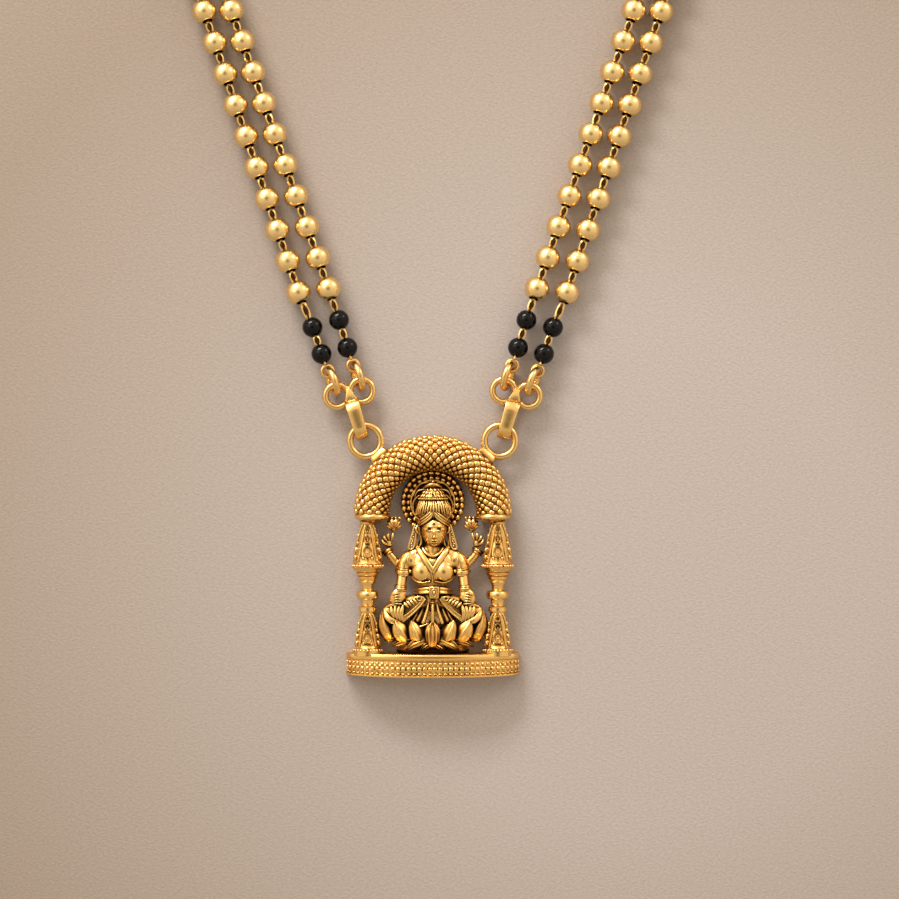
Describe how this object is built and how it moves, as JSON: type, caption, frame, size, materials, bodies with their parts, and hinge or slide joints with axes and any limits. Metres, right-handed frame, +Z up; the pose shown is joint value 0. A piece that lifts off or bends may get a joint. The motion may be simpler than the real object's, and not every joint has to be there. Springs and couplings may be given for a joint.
{
  "type": "mangalsutra necklace",
  "caption": "Two-strand wedding necklace of gold and black beads with an arched temple pendant that frames a seated four-armed figure.",
  "frame": {"origin": "on the surface that the necklace lies on, under the middle of its bounding box", "axes": "+Y runs from the pendant's plinth up to the clasp, +X to the picture's right across the pendant, +Z up out of the surface"},
  "size_m": [0.1268, 0.2525, 0.0066],
  "materials": {
    "antique_gold": "satin, dark in the recesses",
    "plated_gold": "satin",
    "bead_gold": "fine satin",
    "black_glass": "glossy, opaque"
  },
  "bodies": {
    "root": {"pendant_frame": "antique_gold", "goddess_figure": "antique_gold", "connector_front_left": "plated_gold", "connector_front_right": "plated_gold", "connector_back_left": "plated_gold", "connector_back_right": "plated_gold", "jump_ring_front_left_outer": "plated_gold", "jump_ring_front_left_inner": "plated_gold", "jump_ring_front_right_outer": "plated_gold", "jump_ring_front_right_inner": "plated_gold", "jump_ring_back_left_outer": "plated_gold", "jump_ring_back_left_inner": "plated_gold", "jump_ring_back_right_outer": "plated_gold", "jump_ring_back_right_inner": "plated_gold", "black_bead_left_outer_upper": "black_glass", "black_bead_left_outer_lower": "black_glass", "black_bead_left_inner_upper": "black_glass", "black_bead_left_inner_lower": "black_glass", "black_bead_right_outer_upper": "black_glass", "black_bead_right_outer_lower": "black_glass", "black_bead_right_inner_upper": "black_glass", "black_bead_right_inner_lower": "black_glass", "gold_beads_left_outer": "bead_gold", "gold_beads_left_inner": "bead_gold", "gold_beads_right_outer": "bead_gold", "gold_beads_right_inner": "bead_gold", "link_wire_left_outer": "plated_gold", "link_wire_left_inner": "plated_gold", "link_wire_right_outer": "plated_gold", "link_wire_right_inner": "plated_gold", "clasp_hook": "plated_gold"}
  },
  "joints": []
}
